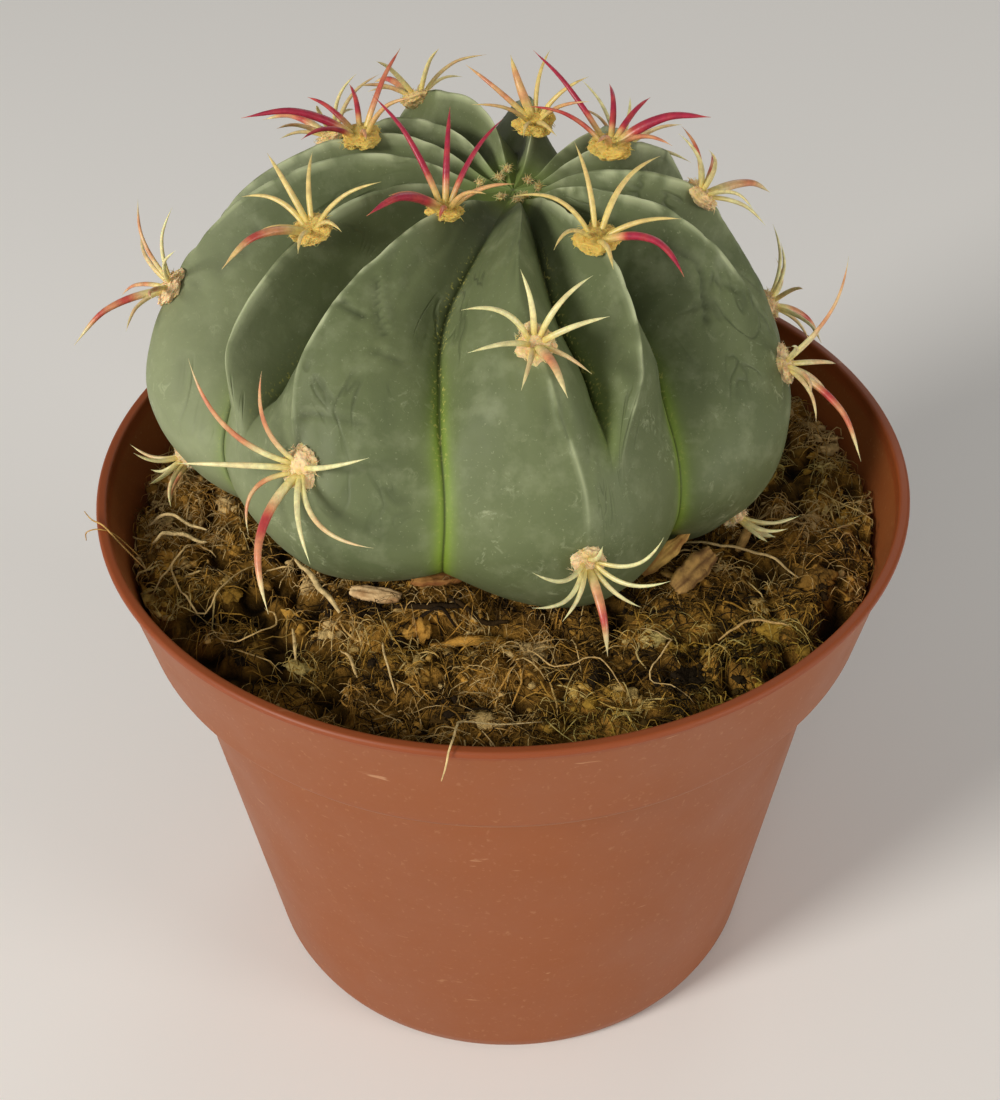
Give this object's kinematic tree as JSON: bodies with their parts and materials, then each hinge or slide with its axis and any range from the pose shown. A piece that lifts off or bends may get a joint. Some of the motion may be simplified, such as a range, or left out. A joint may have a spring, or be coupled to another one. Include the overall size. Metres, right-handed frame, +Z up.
{
  "type": "potted horse crippler cactus",
  "caption": "Low ribbed globe cactus with clusters of stout curved spines on woolly pads, set in fibrous soil in a tapered round plastic pot.",
  "frame": {"origin": "middle of the pot's flat base, on the surface that the pot stands on", "axes": "+Z up; -Y towards the front of the plant, where the picture was taken from; +X to the right seen from the front"},
  "size_m": [0.1063, 0.1091, 0.124],
  "materials": {
    "pot_plastic": "satin, terracotta orange",
    "soil_peat": "rough, dark brown peat with tan fibres",
    "stem_green": "waxy, grey-green",
    "spine_cream": "smooth, cream with rosy bands",
    "spine_crimson": "smooth, crimson with a yellow base",
    "bark": "rough, tan to orange"
  },
  "bodies": {
    "root": {"pot": "pot_plastic", "soil": "soil_peat", "stem": "stem_green", "spines_left_front_14": "spine_crimson", "spines_left_front_47": "spine_cream", "spines_front_32": "spine_cream", "spines_front_58": "spine_cream", "spines_front_right_22": "spine_cream", "spines_right_52": "spine_cream", "spines_right_69": "spine_cream", "spines_right_back_32": "spine_cream", "spines_right_back_56": "spine_cream", "spines_back_right_short_17": "spine_crimson", "spines_back_right_38": "spine_cream", "spines_back_right_61": "spine_cream", "spines_back_short_13": "spine_cream", "spines_back_left_30": "spine_cream", "spines_back_left_54": "spine_cream", "spines_left_back_31": "spine_cream", "spines_left_back_60": "spine_cream", "spines_left_back_short_20": "spine_crimson", "spines_left_42": "spine_cream", "spines_left_62": "spine_cream", "spines_left_short_24": "spine_cream", "bark_chip_pale": "bark", "bark_chip_orange": "bark", "bark_chip_brown": "bark"}
  },
  "joints": []
}
